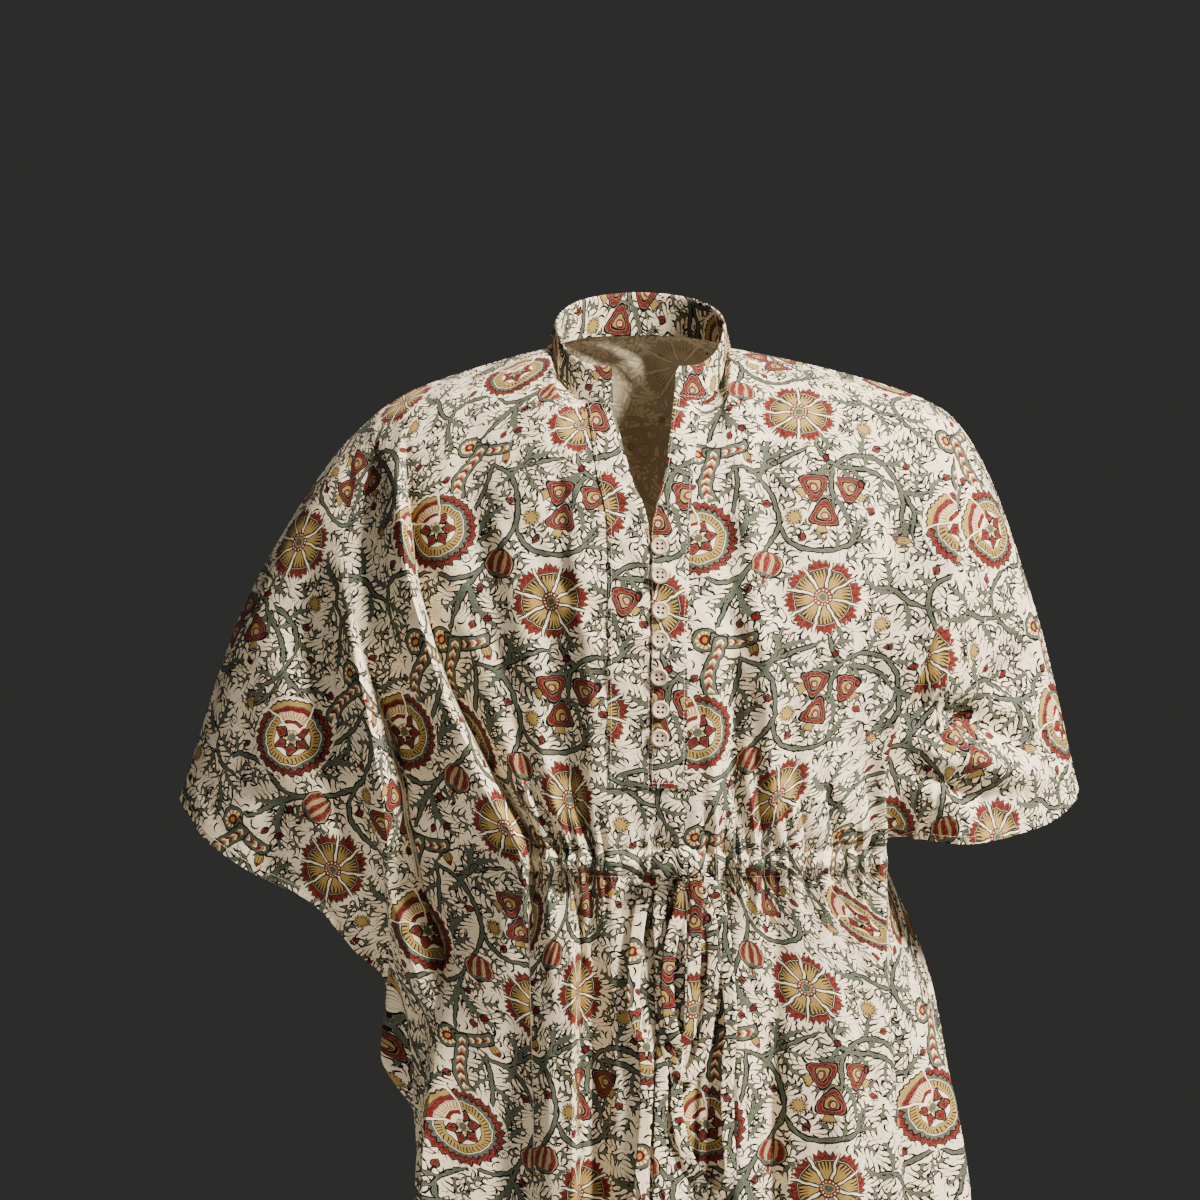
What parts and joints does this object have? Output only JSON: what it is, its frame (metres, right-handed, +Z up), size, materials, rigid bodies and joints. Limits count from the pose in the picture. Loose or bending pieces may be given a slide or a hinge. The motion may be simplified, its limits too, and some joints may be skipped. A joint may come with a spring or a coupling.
{
  "type": "kaftan",
  "caption": "Loose long printed-cotton kaftan with batwing sleeves, band collar, buttoned neck slit and a drawstring that gathers the front waist, in the hollow form it has when worn.",
  "frame": {"origin": "the middle of the base of the neck, between the two points where the neck meets the shoulders, where the wearer's shoulders hold the kaftan", "axes": "+Z is up and the longest extent, the front faces -Y, which is the shortest extent, and +X is the wearer's left"},
  "size_m": [0.697, 0.3344, 1.2667],
  "materials": {
    "printed_cotton": "plain-woven cotton, block printed with flowers and leaves in red, ochre, grey-green and black",
    "button_wood": "pale, smooth, satin"
  },
  "bodies": {
    "root": {"front": "printed_cotton", "back": "printed_cotton", "collar": "printed_cotton", "placket_under": "printed_cotton", "placket_over": "printed_cotton", "button_1": "button_wood", "button_2": "button_wood", "button_3": "button_wood", "button_4": "button_wood", "button_5": "button_wood", "button_6": "button_wood", "button_7": "button_wood", "tie_knot": "printed_cotton", "tie_loop_front": "printed_cotton", "tie_loop_middle": "printed_cotton", "tie_loop_long": "printed_cotton", "tie_end_left": "printed_cotton", "tie_end_right": "printed_cotton"}
  },
  "joints": []
}
